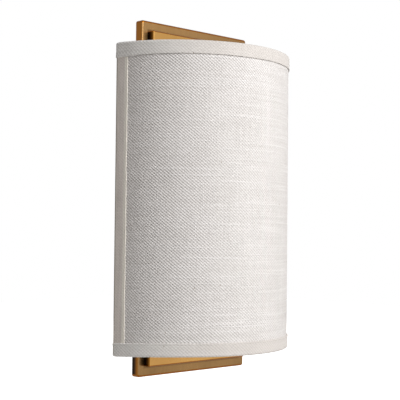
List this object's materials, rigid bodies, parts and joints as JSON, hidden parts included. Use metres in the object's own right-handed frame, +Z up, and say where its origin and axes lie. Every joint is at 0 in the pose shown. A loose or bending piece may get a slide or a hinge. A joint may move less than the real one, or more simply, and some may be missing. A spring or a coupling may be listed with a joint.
{
  "type": "fabric shade wall light",
  "caption": "Half-round linen shade hung on a tall stepped brass backplate, with lampholders, lamps, terminals and a slotted wall bar.",
  "frame": {"origin": "centre of the crossbar's screw pattern, on the wall", "axes": "+X to the right as one faces the light, +Y into the wall, +Z up"},
  "size_m": [0.2206, 0.1016, 0.3556],
  "materials": {
    "antique_brass": "brushed, antiqued and lacquered",
    "zinc_steel": "zinc plated",
    "earth_green": "green passivated steel",
    "contact_brass": "bright",
    "grommet_rubber": "matte moulded",
    "block_plastic": "moulded",
    "lead_black": "extruded insulation",
    "lead_white": "extruded insulation",
    "lead_green": "extruded insulation",
    "porcelain": "glazed",
    "lamp_nickel": "satin nickel plate",
    "lamp_housing": "fine texture",
    "opal": "opal, satin",
    "linen": "coarse plain linen weave with slubs",
    "linen_tape": "folded linen tape",
    "liner_styrene": "satin translucent sheet",
    "frame_white": "white enamel"
  },
  "bodies": {
    "backplate": {"base_pan": "antique_brass", "block_nuts": "zinc_steel", "block_studs": "zinc_steel", "bracket_nuts": "zinc_steel", "bracket_screws": "zinc_steel", "centre_panel": "antique_brass", "crossbar": "zinc_steel", "earth_lead": "lead_green", "earth_screw": "earth_green", "earth_tag": "contact_brass", "grommet": "grommet_rubber", "holder_body_lower": "porcelain", "holder_body_upper": "porcelain", "holder_contact_lower": "contact_brass", "holder_contact_upper": "contact_brass", "holder_nipple_lower": "contact_brass", "holder_nipple_upper": "contact_brass", "holder_nuts": "zinc_steel", "holder_shell_lower": "contact_brass", "holder_shell_upper": "contact_brass", "lamp_bracket": "zinc_steel", "lead_lower_live": "lead_black", "lead_lower_neutral": "lead_white", "lead_upper_live": "lead_black", "lead_upper_neutral": "lead_white", "panel_nuts": "zinc_steel", "panel_studs": "zinc_steel", "plate_studs": "zinc_steel", "shade_posts": "antique_brass", "terminal_block": "block_plastic", "terminal_screws": "zinc_steel"},
    "shade": {"shade_liner": "liner_styrene", "shade_cover": "linen", "trim_top": "linen_tape", "trim_bottom": "linen_tape", "trim_left": "linen_tape", "trim_right": "linen_tape", "ring_top": "frame_white", "ring_bottom": "frame_white", "strut_left": "frame_white", "strut_right": "frame_white", "rail_top": "frame_white", "rail_bottom": "frame_white"},
    "upper_lamp": {"lamp_cap_upper": "lamp_nickel", "lamp_collar_upper": "lamp_housing", "lamp_dome_upper": "opal"},
    "lower_lamp": {"lamp_cap_lower": "lamp_nickel", "lamp_collar_lower": "lamp_housing", "lamp_dome_lower": "opal"},
    "left_plate_nut": {"plate_nut_left": "antique_brass"},
    "right_plate_nut": {"plate_nut_right": "antique_brass"},
    "top_left_nut": {"shade_nut_top_left": "antique_brass"},
    "top_right_nut": {"shade_nut_top_right": "antique_brass"},
    "bottom_left_nut": {"shade_nut_bottom_left": "antique_brass"},
    "bottom_right_nut": {"shade_nut_bottom_right": "antique_brass"}
  },
  "joints": [
    {"name": "shade_lift", "type": "slide", "parent": "backplate", "child": "shade", "axis": [0, 0, 1], "range_m": [0, 0.012]},
    {"name": "top_left_nut_turn", "type": "hinge", "parent": "backplate", "child": "top_left_nut", "pos_m": [-0.04, -0.0247, 0.13625], "axis": [0, -1, 0], "continuous": true},
    {"name": "top_right_nut_turn", "type": "hinge", "parent": "backplate", "child": "top_right_nut", "pos_m": [0.04, -0.0247, 0.13625], "axis": [0, -1, 0], "continuous": true},
    {"name": "bottom_left_nut_turn", "type": "hinge", "parent": "backplate", "child": "bottom_left_nut", "pos_m": [-0.04, -0.0247, -0.13825], "axis": [0, -1, 0], "continuous": true},
    {"name": "bottom_right_nut_turn", "type": "hinge", "parent": "backplate", "child": "bottom_right_nut", "pos_m": [0.04, -0.0247, -0.13825], "axis": [0, -1, 0], "continuous": true},
    {"name": "left_plate_nut_turn", "type": "hinge", "parent": "backplate", "child": "left_plate_nut", "pos_m": [-0.0565, -0.02, 0], "axis": [0, -1, 0], "continuous": true},
    {"name": "right_plate_nut_turn", "type": "hinge", "parent": "backplate", "child": "right_plate_nut", "pos_m": [0.0565, -0.02, 0], "axis": [0, -1, 0], "continuous": true},
    {"name": "upper_lamp_turn", "type": "hinge", "parent": "backplate", "child": "upper_lamp", "pos_m": [0, -0.058, 0.046], "axis": [0, 0, 1], "continuous": true},
    {"name": "lower_lamp_turn", "type": "hinge", "parent": "backplate", "child": "lower_lamp", "pos_m": [0, -0.058, -0.046], "axis": [0, 0, -1], "continuous": true}
  ]
}
